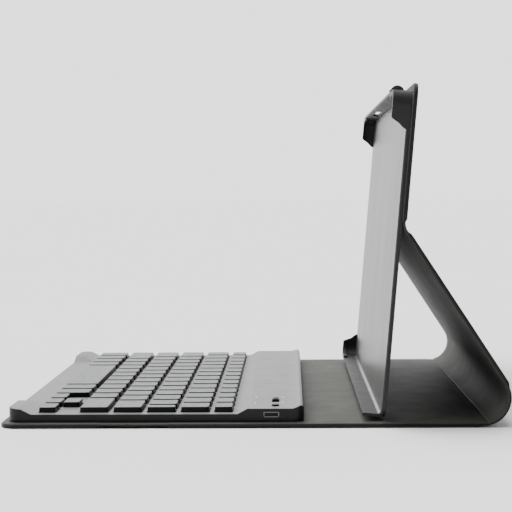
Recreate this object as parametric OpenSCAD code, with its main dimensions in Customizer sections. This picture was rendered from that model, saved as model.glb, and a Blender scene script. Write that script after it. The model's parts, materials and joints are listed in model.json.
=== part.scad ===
// Tablet keyboard case, open on a table.
// A folding cover carries a tablet tray on its upper panel and a lift-off keyboard on its base panel.
// X runs to the user's right, Y away from the user and Z up. The origin is at the middle of the footprint.

/* [Cover] */
// Width of the cover
cover_w = 253; // [250:0.5:262]
// Depth of the closing flap at the front edge
flap_l = 48.4; // [40:0.2:52]
// Depth of the soft strip between the flap and the base panel
strip_l = 33.2; // [30:0.2:36]
// Depth of the base panel
base_l = 151; // [149:0.5:156]
// Radius of the spine's curve, on the line of the panels' outer faces
spine_r = 14.2; // [13:0.1:15]
// Length of the strut panel, from the spine to the fold
strut_l = 88.6; // [87:0.1:90]
// Height of the upper panel above the fold
upper_l = 68.4; // [67:0.2:70]
// Direction of the strut, in degrees up from +Y
strut_heading = 123; // [122:0.5:124]
// Direction of the upper panel and the tray, in degrees up from +Y
tray_heading = 85; // [84:0.5:86]
// Corner radius of the cover
cover_r = 8; // [4:0.5:10]
// Thickness of the outer leather
skin_t = 0.7; // [0.6:0.1:1]
// Thickness of the boards in the base, the flap and the upper panel
board_t = 1.1; // [1.1:0.1:1.4]
// Thickness of the board in the strut
strut_board_t = 1; // [0.8:0.1:1]
// Thickness of the inner lining
lining_t = 0.4; // [0.3:0.1:0.5]

/* [Tray] */
// Width of the tablet that the tray holds
tablet_w = 247.2; // [244:0.2:248]
// Height of the tablet that the tray holds
tablet_h = 154.5; // [153.5:0.1:156]
// Thickness of the tablet at its edge
tablet_t = 6.4; // [5.5:0.1:6.6]
// Thickness of the tray's walls
tray_t = 1.4; // [1.2:0.1:1.6]
// Thickness of the tray's back
tray_back_t = 1.8; // [1.4:0.1:2]
// Thickness of the soft sheet that the tablet lies on
liner_t = 0.3; // [0.2:0.1:0.4]
// How far the tray hangs below the fold
tray_drop = 92.7; // [92:0.1:92.8]
// Length of each upper corner clip
clip_l = 19; // [14:0.2:22]
// How far the shelf and the lower clip reach in front of the upper clips
shelf_out = 1.4; // [0:0.1:2]
// Length of the lower corner clip
low_clip_l = 14.8; // [12:0.2:19]

/* [Keyboard] */
// Width of the keyboard
kb_w = 242; // [240:0.5:244]
// Depth of the keyboard
kb_d = 143.8; // [143.2:0.1:144.4]
// Gap between the cover's front edge and the keyboard
kb_front = 3.3; // [2:0.1:3.5]
// Height of the key deck above the lining
deck_z = 3.8; // [3.6:0.1:4]
// Height of the front corner blocks
block_z = 6.9; // [6.6:0.1:7.2]
// Height of the rear hump at its front
hump_z = 6.4; // [6.2:0.1:6.6]
// Height of the rear hump at its back
hump_rear_z = 7.7; // [7.4:0.1:8]
// Spacing of the keys along a row
key_u = 16.6; // [16.4:0.1:16.7]
// Spacing of the key rows
row_u = 16.5; // [16.4:0.1:16.6]
// Gap between two keys
key_gap = 2.6; // [2.4:0.1:3]
// Height of a keycap's top above the deck
key_h = 2.6; // [2.4:0.1:2.8]
// Travel of a key
key_travel = 1.2; // [1:0.1:1.2]

/* [Hidden] */
$fn = 48;

cut = 1;                        // how far a cutter runs past the face that it cuts
panel_t = skin_t + board_t + lining_t;
strut_t = skin_t + strut_board_t + lining_t;
rim = 1.6;                      // width of the skin's turned edge round a board
soft_skin_z = panel_t - lining_t - skin_t;  // depth of the leather where there is no board

// Distances along the closed outline, from the cover's front edge
spine_in = 0.9;                 // how far the spine's leather lies inside the panels' outer line
front_y = -(flap_l + strip_l + base_l + spine_r - spine_in) / 2;
strip_y = front_y + flap_l;
base_y = strip_y + strip_l;
spine_y = base_y + base_l;
spine_turn = strut_heading;     // the spine turns from flat to the strut's direction
spine_mid = spine_turn / 2;
strut_y = spine_y + spine_r * sin(spine_turn);
strut_z = spine_r * (1 - cos(spine_turn));
hinge_strip_l = 4;              // the soft strip between the spine's curve and the strut's board
fold_y = strut_y + strut_l * cos(strut_heading);
fold_z = strut_z + strut_l * sin(strut_heading);

panel_gap = 0.8;                // from a hinge line to the panel or strip on either side
fold_gap = 2.4;                 // from the fold to the strut's board
spine_gap = 0.5;
spine_skin_t = 0.8;
spine_lining_t = 0.5;

tray_w = tablet_w + 2 * tray_t;
tray_h = tablet_h + 2 * tray_t + 0.2;
tray_z = panel_t;
tray_face = tray_z + tray_back_t;    // the front of the tray's back wall
lip_z = tray_face + liner_t + tablet_t;
lip_t = 0.9;
lip_front = lip_z + lip_t;
shelf_front = lip_front + shelf_out;
tray_top = tray_h - tray_drop;
tray_r = 8;
lip_in = 1.3;

kb_y = front_y + kb_front;
kb_z = panel_t;
kb_r = 6;
kb_skin = 0.8;                  // thickness of the keyboard's top panel and its floor
kb_wall = 1.8;
kb_lip = 0.6;                   // width of the black edge round the top panel
kb_lip_drop = 0.15;
foot_t = 0.2;
floor_z = foot_t + 0.6;
plate_t = 0.2;
membrane_t = 0.15;
membrane_z = floor_z + plate_t;
dome_z = membrane_z + membrane_t;
key_top_z = deck_z + key_h;
key_bottom_z = dome_z + key_travel + 0.15;
cap_t = 0.8;
cap_wall = 0.9;
key_clear = 0.3;
block_w = 36;
block_d = 11.4;
block_slope_l = 9;
ramp_y = 111.6;
hump_y = 116.4;
rise_y = 138.6;                   // the hump is level from hump_y to here, then rises to its back
board_y = 122.6;                  // the circuit board and battery lie under the hump
board_d = 15;

// Rows of keys from the front: widths in key spacings, left to right
row_bottom = [1, 1, 1, 1, 5, 1, 1];
row_lower = [2, 1, 1, 1, 1, 1, 1, 1, 1, 1, 1, 2];
row_home = [1.5, 1, 1, 1, 1, 1, 1, 1, 1, 1, 1, 1, 1.5];
row_upper = [1.4, 1, 1, 1, 1, 1, 1, 1, 1, 1, 1, 1, 1, 0.6];
row_number = [for (i = [1:14]) 1];
row_function = [for (i = [1:14]) 1];
key_d = row_u - key_gap;
bottom_row_y = 14.1;
bottom_row_d = 17.5;
function_row_d = 8.8;
lower_row_y = bottom_row_y + bottom_row_d + key_gap;
function row_y(k) = lower_row_y + row_u * k;
field_w = 14 * key_u;
function sum_to(v, i) = i <= 0 ? 0 : v[i - 1] + sum_to(v, i - 1);
function key_left(v, i) = -field_w / 2 + key_u * sum_to(v, i) + key_gap / 2;
function key_width(v, i) = key_u * v[i] - key_gap;

// ---------- shared shapes ----------

// A flat outline centred on X, from y = 0 to y = l, with corner radii ra at the front and rb at the back
module outline(w, l, ra = 0, rb = 0) {
    difference() {
        translate([-w / 2, 0]) square([w, l]);
        for (s = [-1, 1]) {
            if (ra > 0) translate([s * w / 2, 0]) corner(ra, -s, 1);
            if (rb > 0) translate([s * w / 2, l]) corner(rb, -s, -1);
        }
    }
}

// What is cut away outside a corner of radius r, which lies towards dx, dy from the corner
module corner(r, dx, dy) {
    difference() {
        translate([dx > 0 ? -cut : -r, dy > 0 ? -cut : -r]) square([r + cut, r + cut]);
        translate([dx * r, dy * r]) circle(r);
    }
}

module plate(w, l, t, ra = 0, rb = 0) linear_extrude(t) outline(w, l, ra, rb);

// Leather under a board, turned up round the board's edge
module panel_skin(w, l, t, ra = 0, rb = 0) {
    difference() {
        plate(w, l, t, ra, rb);
        translate([0, rim, skin_t])
            plate(w - 2 * rim, l - 2 * rim, t, max(ra - rim, 0), max(rb - rim, 0));
    }
}

// The board that fills a panel_skin, with pockets for bar magnets at [x, y]
module panel_board(w, l, t, ra = 0, rb = 0, magnets = []) {
    translate([0, rim, skin_t]) difference() {
        plate(w - 2 * rim, l - 2 * rim, t, max(ra - rim, 0), max(rb - rim, 0));
        for (m = magnets) translate([m[0] - magnet[0] / 2, m[1] - rim - magnet[1] / 2, t - magnet[2]])
            cube([magnet[0], magnet[1], magnet[2] + cut]);
    }
}

magnet = [12, 5, 0.9];
module magnets_at(places, top) {
    for (m = places) translate([m[0] - magnet[0] / 2, m[1] - magnet[1] / 2, top - magnet[2]]) cube(magnet);
}

// A profile in the Y-Z plane, drawn out along X from xa to xb
module along_x(xa, xb) translate([xa, 0, 0]) rotate([90, 0, 90]) linear_extrude(xb - xa) children();

module at_flap() translate([0, front_y, 0]) children();
module at_strip() translate([0, strip_y, 0]) children();
module at_base() translate([0, base_y, 0]) children();
module at_strut() translate([0, strut_y, strut_z]) rotate([strut_heading, 0, 0]) children();
module at_upper() translate([0, fold_y, fold_z]) rotate([tray_heading, 0, 0]) children();
module at_keyboard() translate([0, kb_y, kb_z]) children();

// ---------- closing flap ----------

flap_part_l = flap_l - panel_gap;
flap_places = [for (x = [-90, -30, 30, 90]) [x, 9]];
module flap_skin() color([0.06, 0.06, 0.06]) at_flap()
    panel_skin(cover_w, flap_part_l, skin_t + board_t, cover_r, 0);
module flap_board() color([0.55, 0.5, 0.42]) at_flap()
    panel_board(cover_w, flap_part_l, board_t, cover_r, 0, flap_places);
module flap_lining() color([0.36, 0.36, 0.33]) at_flap() translate([0, 0, skin_t + board_t])
    plate(cover_w, flap_part_l, lining_t, cover_r, 0);
module flap_magnets() color("silver") at_flap() magnets_at(flap_places, skin_t + board_t);

// The soft strip has no board, so its leather rises to the lining
module flap_strip_skin() color([0.06, 0.06, 0.06]) at_strip() translate([0, panel_gap, soft_skin_z])
    plate(cover_w, strip_l - 2 * panel_gap, skin_t);
module flap_strip_lining() color([0.36, 0.36, 0.33]) at_strip()
    translate([0, panel_gap, soft_skin_z + skin_t]) plate(cover_w, strip_l - 2 * panel_gap, lining_t);

// ---------- base panel ----------

base_part_l = base_l - 2 * panel_gap;
base_places = concat(
    [for (x = [-100, -60, -20, 20, 60, 100]) [x, 92]],
    [for (x = [-90, 90]) [x, 30]]);
module at_base_part() at_base() translate([0, panel_gap, 0]) children();
module base_skin() color([0.06, 0.06, 0.06]) at_base_part()
    panel_skin(cover_w, base_part_l, skin_t + board_t);
module base_board() color([0.55, 0.5, 0.42]) at_base_part()
    panel_board(cover_w, base_part_l, board_t, 0, 0, base_places);
module base_lining() color([0.36, 0.36, 0.33]) at_base_part() translate([0, 0, skin_t + board_t])
    plate(cover_w, base_part_l, lining_t);
module base_magnets() color("silver") at_base_part() magnets_at(base_places, skin_t + board_t);

// ---------- spine ----------

// A curved sheet round the spine's centre, between two depths, from one turn to another
module spine_sheet(depth_a, depth_b, turn_a, turn_b) {
    translate([-cover_w / 2, spine_y, spine_r]) rotate([0, 90, 0])
        linear_extrude(cover_w) intersection() {
            difference() {
                circle(spine_r - depth_a, $fn = 96);
                circle(spine_r - depth_b, $fn = 96);
            }
            sector(turn_a, turn_b);
        }
}

// A wedge that holds the turns from a to b, where turn 0 points at the floor
module sector(a, b) {
    far = 3 * spine_r;
    mid = (a + b) / 2;
    polygon([
        [0, 0], [far * cos(a), far * sin(a)],
        [far * cos(mid), far * sin(mid)], [far * cos(b), far * sin(b)]]);
}

gap_turn = spine_gap / spine_r * 180 / PI;
module spine_lower_skin() color([0.06, 0.06, 0.06])
    spine_sheet(spine_in, spine_in + spine_skin_t, gap_turn, spine_mid - gap_turn);
module spine_lower_lining() color([0.36, 0.36, 0.33])
    spine_sheet(spine_in + spine_skin_t, spine_in + spine_skin_t + spine_lining_t,
        gap_turn, spine_mid - gap_turn);
module spine_upper_skin() color([0.06, 0.06, 0.06])
    spine_sheet(spine_in, spine_in + spine_skin_t, spine_mid + gap_turn, spine_turn - gap_turn);
module spine_upper_lining() color([0.36, 0.36, 0.33])
    spine_sheet(spine_in + spine_skin_t, spine_in + spine_skin_t + spine_lining_t,
        spine_mid + gap_turn, spine_turn - gap_turn);
module strut_hinge_strip() color([0.06, 0.06, 0.06]) at_strut() translate([0, spine_gap, spine_in])
    plate(cover_w, hinge_strip_l - 2 * spine_gap, spine_skin_t + spine_lining_t);

// ---------- strut ----------

strut_part_y = hinge_strip_l + panel_gap;
strut_part_l = strut_l - strut_part_y - fold_gap;
tongue_t = 0.6;                 // the thin leather that reaches towards the fold
tongue_z = 0.3;
module strut_skin() color([0.06, 0.06, 0.06]) at_strut() {
    translate([0, strut_part_y, 0]) panel_skin(cover_w, strut_part_l, skin_t + strut_board_t);
    translate([0, strut_part_y + strut_part_l, tongue_z])
        plate(cover_w, fold_gap - panel_gap, tongue_t);
}
module strut_board() color([0.55, 0.5, 0.42]) at_strut() translate([0, strut_part_y, 0])
    panel_board(cover_w, strut_part_l, strut_board_t);
module strut_lining() color([0.36, 0.36, 0.33]) at_strut()
    translate([0, strut_part_y, skin_t + strut_board_t]) plate(cover_w, strut_part_l, lining_t);

// ---------- upper panel ----------

upper_part_y = 3;
upper_part_l = upper_l - upper_part_y;
module upper_skin() color([0.06, 0.06, 0.06]) at_upper() {
    translate([0, upper_part_y, 0])
        panel_skin(cover_w, upper_part_l, skin_t + board_t, 0, cover_r);
    translate([0, panel_gap, tongue_z]) plate(cover_w, upper_part_y - panel_gap, tongue_t);
}
module upper_board() color([0.55, 0.5, 0.42]) at_upper() translate([0, upper_part_y, 0])
    panel_board(cover_w, upper_part_l, board_t, 0, cover_r);
module upper_adhesive() color([0.36, 0.36, 0.33]) at_upper()
    translate([0, upper_part_y, skin_t + board_t]) plate(cover_w, upper_part_l, lining_t, 0, cover_r);

// ---------- tablet tray ----------

slot_x = -55;                   // middle of the cut-out in the tray's top wall
slot_w = 42;
slot_d = 3.4;
shelf_right = 1.4;              // the shelf's open right end stops short of the tray's edge
// Side of a corner clip, with its end at y = 0: full depth, then a sloping shoulder down to the tray
module clip_side(l, front) polygon([
    [0, tray_face], [0, front], [l - 5.4, front], [l - 4.6, front - 0.6],
    [l - 2.8, tray_face + 4], [l - 0.9, tray_face + 2], [l, tray_face + 0.6], [l, tray_face]]);

// A raised wall along the tray's outline, from its back to the lip, kept only inside the given box
module tray_wall(xa, xb, ya, yb, front) {
    intersection() {
        translate([0, -tray_drop, tray_face]) difference() {
            plate(tray_w, tray_h, front - tray_face, tray_r, tray_r);
            translate([0, tray_t, -cut])
                plate(tray_w - 2 * tray_t, tray_h - 2 * tray_t, lip_z - tray_face + cut,
                    tray_r - tray_t, tray_r - tray_t);
            translate([0, tray_t + lip_in, 0])
                plate(tray_w - 2 * (tray_t + lip_in), tray_h - 2 * (tray_t + lip_in), front + cut,
                    tray_r - tray_t - lip_in, tray_r - tray_t - lip_in);
        }
        translate([xa, ya, tray_z]) cube([xb - xa, yb - ya, front]);
    }
}

module tray_clips() {
    edge = tray_w / 2;
    // top wall with its two corners
    intersection() {
        tray_wall(-edge, edge, tray_top - clip_l, tray_top, lip_front);
        union() {
            along_x(-edge, edge) translate([tray_top - tray_t, tray_z]) square([tray_t, lip_z]);
            for (s = [-1, 1]) translate([s * (edge - 13), 0, 0])
                along_x(-13, 13) translate([tray_top, 0]) scale([-1, 1]) clip_side(clip_l, lip_front);
        }
    }
    // bottom left corner
    intersection() {
        tray_wall(-edge, -edge + 24, -tray_drop, -tray_drop + low_clip_l, shelf_front);
        along_x(-edge, -edge + 24) translate([-tray_drop, 0]) clip_side(low_clip_l, shelf_front);
    }
}

module holder_tray() color([0.1, 0.1, 0.1]) at_upper() {
    difference() {
        union() {
            translate([0, -tray_drop, tray_z]) plate(tray_w, tray_h, tray_back_t, tray_r, tray_r);
            tray_clips();
            // bottom shelf, with an open right end
            translate([-tray_w / 2 + tray_r, -tray_drop, tray_face])
                cube([tray_w - tray_r - shelf_right - tray_r / 2, tray_t, shelf_front - tray_face]);
        }
        translate([slot_x - slot_w / 2, tray_top - tray_t - cut, tray_face + 1.6])
            cube([slot_w, tray_t + 2 * cut, slot_d]);
    }
}

module holder_liner() color([0.72, 0.73, 0.72]) at_upper()
    translate([0, -tray_drop + tray_t + 0.3, tray_face])
        plate(tray_w - 2 * tray_t - 0.6, tray_h - 2 * tray_t - 0.6, liner_t, tray_r - 2, tray_r - 2);

bumper_l = 18;
bumper_r = 3.4;
bumper_h = 2;
module top_bumper() color([0.03, 0.03, 0.03]) at_upper()
    along_x(tray_w / 2 - 8 - bumper_l, tray_w / 2 - 8) intersection() {
        translate([tray_top + bumper_h - bumper_r, tray_face + 5.2]) circle(bumper_r);
        translate([tray_top, tray_z]) square([bumper_h + cut, lip_z]);
    }

// The bar under the shelf rests on the base panel's lining
bar_t = 0.9;
bar_l = tray_w - 24;
bar_z = tray_z + 0.6;
bar_w = 5.6;
shelf_places = [for (x = [-100, -60, -20, 20, 60, 100]) x];
module shelf_bar() color([0.04, 0.04, 0.04]) at_upper() difference() {
    translate([-bar_l / 2, -tray_drop - bar_t, bar_z]) cube([bar_l, bar_t, bar_w]);
    for (x = shelf_places) translate([x - 6, -tray_drop - bar_t + 0.3, bar_z + 0.8])
        cube([12, bar_t, 4]);
}
module shelf_magnets() color("silver") at_upper()
    for (x = shelf_places) translate([x - 6, -tray_drop - bar_t + 0.3, bar_z + 0.8])
        cube([12, bar_t - 0.3, 4]);

// ---------- keyboard ----------

// A raised block in a front corner, at the side s, that slopes down to the deck at its back and inner end
module corner_block(s, drop) {
    inner_x = kb_w / 2 - block_w;
    intersection() {
        along_x(-kb_w, kb_w) polygon([
            [-cut, foot_t], [-cut, block_z - drop], [6.3, block_z - 0.5 - drop],
            [block_d, deck_z - drop], [block_d, foot_t]]);
        translate([0, block_d + cut, 0]) rotate([90, 0, 0]) linear_extrude(block_d + 3 * cut) polygon([
            [s * kb_w, foot_t], [s * kb_w, block_z - drop], [s * (inner_x + block_slope_l), block_z - drop],
            [s * inner_x, deck_z - drop], [s * inner_x, foot_t]]);
    }
}

// The keyboard's outer form, lowered by drop and drawn in by inset, from z = foot_t
module kb_form(drop = 0, inset = 0) {
    intersection() {
        union() {
            along_x(-kb_w, kb_w) polygon([
                [-cut, foot_t], [-cut, deck_z - drop], [ramp_y, deck_z - drop], [hump_y, hump_z - drop],
                [rise_y, hump_z - drop],
                [kb_d - 1.6, hump_rear_z - drop], [kb_d - 0.5, hump_rear_z - 0.5 - drop],
                [kb_d, hump_rear_z - 1.8 - drop], [kb_d, foot_t]]);
            for (s = [-1, 1]) corner_block(s, drop);
        }
        translate([0, inset, foot_t]) plate(kb_w - 2 * inset, kb_d - 2 * inset, 2 * hump_rear_z,
            kb_r - inset, kb_r - inset);
    }
}

screw_places = [[-113, 6], [113, 6], [-108, 139.8], [0, 140.2], [108, 139.8]];
post_r = 2;
screw_r = 0.7;
screw_head_r = 1.5;
screw_head_t = 0.5;
usb_y = 128;
usb_w = 7.6;
usb_h = 2.7;
usb_z = 2.2;
usb_l = 5.2;
groove = [0.35, 0.6, 4.2];      // an upright groove in the right side, behind the socket
groove_y = 135.4;
groove_z = 1.4;
// the circuit board stands on four standoffs, with the socket on top of it
pcb_x = 62;
pcb_y = 118.6;
pcb_t = 0.8;
pcb_z = usb_z + 0.1 - pcb_t;
standoff_places = [[65, 121.6], [65, 134.6], [116, 121.6], [116, 134.6]];
foot_places = [for (x = [-104, 104], y = [12, 129.6]) [x, y]];
kb_magnet_places = [for (x = [-90, -45, 0, 45]) [x, 119.2]];

module kb_bottom_case() color([0.07, 0.07, 0.07]) at_keyboard() difference() {
    kb_form(kb_lip_drop);
    // the seat of the top panel
    difference() {
        kb_form(-cut, kb_lip);
        kb_form(kb_skin);
    }
    // the space inside, around the circuit board's standoffs
    difference() {
        intersection() {
            kb_form(kb_skin, kb_wall);
            translate([-kb_w / 2, 0, floor_z]) cube([kb_w, kb_d, 2 * hump_rear_z]);
        }
        for (p = standoff_places) translate([p[0], p[1], 0]) cylinder(r = 1.4, h = pcb_z);
    }
    translate([kb_w / 2 - kb_wall - cut, usb_y - usb_w / 2, usb_z])
        cube([kb_wall + 2 * cut, usb_w, usb_h]);
    translate([kb_w / 2 - groove[0], groove_y, groove_z]) cube([groove[0] + cut, groove[1], groove[2]]);
    for (p = screw_places) translate([p[0], p[1], 0]) cylinder(r = screw_r, h = 2 * floor_z);
    for (p = screw_places) translate([p[0], p[1], foot_t - cut])
        cylinder(r = screw_head_r, h = cut + screw_head_t / 2);
}

switch_x = 94;
switch_y = 129.9;
button_x = 111.5;
slider_travel = 3;
led_places = [[83, 133.6], [100, 133.6], [83, 119.8], [102, 119.8]];
module key_hole(x, w, y, d) translate([x - key_clear, y - key_clear, 0])
    cube([w + 2 * key_clear, d + 2 * key_clear, 2 * hump_rear_z]);

module kb_top_case() color([0.72, 0.73, 0.73]) at_keyboard() difference() {
    union() {
        difference() {
            kb_form(0, kb_lip);
            kb_form(kb_skin);
        }
        // screw posts
        for (p = screw_places) intersection() {
            kb_form(kb_skin / 2, kb_lip);
            translate([p[0], p[1], floor_z]) cylinder(r = post_r, h = hump_rear_z);
        }
    }
    for (p = screw_places) translate([p[0], p[1], 0]) cylinder(r = screw_r, h = deck_z + 1.2);
    each_key() key_hole(key_left($row, $i), key_width($row, $i), $y, $d);
    arrow_keys_at() key_hole($x, key_u - key_gap, $y, $d);
    translate([switch_x - 6, switch_y - 1.9, deck_z]) cube([12, 3.8, hump_rear_z]);
    translate([button_x, switch_y, deck_z]) cylinder(r = 2.1, h = hump_rear_z);
    for (p = led_places) translate([p[0], p[1], deck_z]) cylinder(r = 0.7, h = hump_rear_z);
}

module kb_feet() color([0.12, 0.12, 0.12]) at_keyboard()
    for (p = foot_places) translate([p[0], p[1], 0]) cylinder(r = 5, h = foot_t);

module kb_screws() color("silver") at_keyboard() for (p = screw_places) translate([p[0], p[1], foot_t]) {
    cylinder(r = screw_head_r - 0.1, h = screw_head_t / 2);
    cylinder(r = screw_r - 0.02, h = deck_z + 0.4);
}

module kb_magnets() color("silver") at_keyboard() magnets_at(kb_magnet_places, floor_z + magnet[2]);

plate_y = 12;
plate_d = ramp_y - plate_y - 1;
module key_plate() color([0.5, 0.52, 0.53]) at_keyboard() translate([0, plate_y, floor_z])
    plate(field_w + 2, plate_d, plate_t);
module membrane() color([0.6, 0.65, 0.6]) at_keyboard() translate([0, plate_y, membrane_z])
    plate(field_w, plate_d, membrane_t);

dome_r = 1.9;
module dome() {
    cylinder(r1 = dome_r, r2 = 1.2, h = 1.2);
    translate([0, 0, 1.2]) cylinder(r = 1.2, h = key_top_z - cap_t - dome_z - 1.2);
}
module rubber_domes() color([0.85, 0.85, 0.82]) at_keyboard() {
    each_key() translate([key_left($row, $i) + key_width($row, $i) / 2, $y + $d / 2, dome_z]) dome();
    arrow_keys_at() translate([$x + (key_u - key_gap) / 2, $y + $d / 2, dome_z]) dome();
}

// One flat link beside each dome
link_w = 0.6;
module link(w, d) for (s = [-1, 1]) translate([s * (min(w, 12) / 2 - 1.4) - link_w / 2, -d / 2 + 1.4, 0])
    cube([link_w, d - 2.8, key_bottom_z - dome_z]);
module scissor_links() color([0.9, 0.9, 0.88]) at_keyboard() {
    each_key() translate([key_left($row, $i) + key_width($row, $i) / 2, $y + $d / 2, dome_z])
        link(key_width($row, $i), $d);
    arrow_keys_at() translate([$x + (key_u - key_gap) / 2, $y + $d / 2, dome_z]) link(key_u - key_gap, $d);
}

module circuit_board() color([0.05, 0.3, 0.16]) at_keyboard()
    translate([pcb_x, pcb_y, pcb_z])
        cube([kb_w / 2 - kb_wall - 0.4 - pcb_x, board_y + board_d - pcb_y, pcb_t]);
module battery() color([0.75, 0.76, 0.78]) at_keyboard()
    translate([-62, board_y, floor_z]) cube([110, board_d, 3.2]);
module flat_cable() color([0.85, 0.6, 0.2]) at_keyboard() along_x(68, 82) polygon([
    [plate_y + plate_d + 0.2, membrane_z], [plate_y + plate_d + 3, membrane_z],
    [pcb_y - 1, pcb_z - membrane_t], [pcb_y + 4, pcb_z - membrane_t], [pcb_y + 4, pcb_z],
    [pcb_y - 1.1, pcb_z], [plate_y + plate_d + 2.9, membrane_z + membrane_t],
    [plate_y + plate_d + 0.2, membrane_z + membrane_t]]);

module usb_socket() color([0.7, 0.7, 0.7]) at_keyboard()
    translate([kb_w / 2 - usb_l, usb_y - usb_w / 2 + 0.1, usb_z + 0.1]) difference() {
        cube([usb_l, usb_w - 0.2, usb_h - 0.2]);
        translate([1, 0.35, 0.35]) cube([usb_l, usb_w - 0.9, usb_h - 0.9]);
        // the mouth's two lower corners are cut back, so that a plug fits one way up
        for (y = [0, usb_w - 0.2]) translate([-cut, y, 0]) rotate([45, 0, 0]) translate([0, -0.4, -0.4])
            cube([usb_l + 2 * cut, 0.8, 0.8]);
    }

module led_pipes() color([0.9, 0.95, 1]) at_keyboard()
    for (p = led_places) translate([p[0], p[1], pcb_z + pcb_t])
        cylinder(r = 0.6, h = hump_z - 0.05 - pcb_z - pcb_t);

switch_top = hump_z + 0.9;
module power_switch() color([0.04, 0.04, 0.04]) at_keyboard()
    translate([switch_x - slider_travel / 2 - 3.2, switch_y - 1.6, 2.9]) cube([6.4, 3.2, switch_top - 2.9]);
module connect_button() color([0.04, 0.04, 0.04]) at_keyboard()
    translate([button_x, switch_y, 3.5]) cylinder(r = 1.8, h = switch_top - 3.5);

// ---------- keys ----------

module keycap(x, w, y, d) translate([x, y, 0]) difference() {
    translate([w / 2, 0, key_bottom_z]) plate(w, d, key_top_z - key_bottom_z, 1.2, 1.2);
    translate([w / 2, cap_wall, key_bottom_z - cut])
        plate(w - 2 * cap_wall, d - 2 * cap_wall, key_top_z - key_bottom_z - cap_t + cut);
}

module row_keys(v, y, d, first, last) color([0.62, 0.64, 0.63]) at_keyboard()
    for (i = [first:last]) keycap(key_left(v, i), key_width(v, i), y, d);

// Places its child at each key but the arrows, with the row's widths, the key's number, and its y and depth
module each_key() {
    rows = [
        [row_bottom, bottom_row_y, bottom_row_d], [row_lower, row_y(0), key_d], [row_home, row_y(1), key_d],
        [row_upper, row_y(2), key_d], [row_number, row_y(3), key_d], [row_function, row_y(4), function_row_d]];
    for (r = rows) for (i = [0:len(r[0]) - 1]) {
        $row = r[0];
        $i = i;
        $y = r[1];
        $d = r[2];
        children();
    }
}

// The arrow keys are half as deep: three in front, one behind the middle one
arrow_d = (bottom_row_d - 0.9) / 2;
arrow_places = [for (k = [11, 12, 13, 12]) -field_w / 2 + key_u * k + key_gap / 2];
module arrow_keys_at() for (k = [0:3]) {
    $x = arrow_places[k];
    $y = bottom_row_y + (k == 3 ? bottom_row_d - arrow_d : 0);
    $d = arrow_d;
    children();
}
module arrow_key(k) color([0.62, 0.64, 0.63]) at_keyboard()
    keycap(arrow_places[k], key_u - key_gap, bottom_row_y + (k == 3 ? bottom_row_d - arrow_d : 0), arrow_d);

module function_keys() row_keys(row_function, row_y(4), function_row_d, 0, 13);
module number_keys() row_keys(row_number, row_y(3), key_d, 0, 12);
module backspace_key() row_keys(row_number, row_y(3), key_d, 13, 13);
module tab_key() row_keys(row_upper, row_y(2), key_d, 0, 0);
module upper_letter_keys() row_keys(row_upper, row_y(2), key_d, 1, 13);
module caps_key() row_keys(row_home, row_y(1), key_d, 0, 0);
module home_letter_keys() row_keys(row_home, row_y(1), key_d, 1, 11);
module enter_key() row_keys(row_home, row_y(1), key_d, 12, 12);
module left_shift_key() row_keys(row_lower, row_y(0), key_d, 0, 0);
module lower_letter_keys() row_keys(row_lower, row_y(0), key_d, 1, 10);
module right_shift_key() row_keys(row_lower, row_y(0), key_d, 11, 11);
module modifier_keys() {
    row_keys(row_bottom, bottom_row_y, bottom_row_d, 0, 3);
    row_keys(row_bottom, bottom_row_y, bottom_row_d, 5, 6);
}
module space_bar() row_keys(row_bottom, bottom_row_y, bottom_row_d, 4, 4);
module arrow_left_key() arrow_key(0);
module arrow_down_key() arrow_key(1);
module arrow_right_key() arrow_key(2);
module arrow_up_key() arrow_key(3);

flap_skin();
flap_board();
flap_lining();
flap_magnets();
flap_strip_skin();
flap_strip_lining();
base_skin();
base_board();
base_lining();
base_magnets();
spine_lower_skin();
spine_lower_lining();
spine_upper_skin();
spine_upper_lining();
strut_hinge_strip();
strut_skin();
strut_board();
strut_lining();
upper_skin();
upper_board();
upper_adhesive();
holder_tray();
holder_liner();
top_bumper();
shelf_bar();
shelf_magnets();
kb_bottom_case();
kb_top_case();
kb_feet();
kb_screws();
kb_magnets();
key_plate();
membrane();
rubber_domes();
scissor_links();
circuit_board();
battery();
flat_cable();
usb_socket();
led_pipes();
power_switch();
connect_button();
function_keys();
number_keys();
backspace_key();
tab_key();
upper_letter_keys();
caps_key();
home_letter_keys();
enter_key();
left_shift_key();
lower_letter_keys();
right_shift_key();
modifier_keys();
space_bar();
arrow_left_key();
arrow_right_key();
arrow_up_key();
arrow_down_key();
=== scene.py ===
"""The tablet keyboard case: soft cover, tray and keyboard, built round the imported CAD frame, in metres."""

import json
import math

import bmesh
import bpy
import numpy as np
from mathutils import Matrix, Vector


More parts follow.
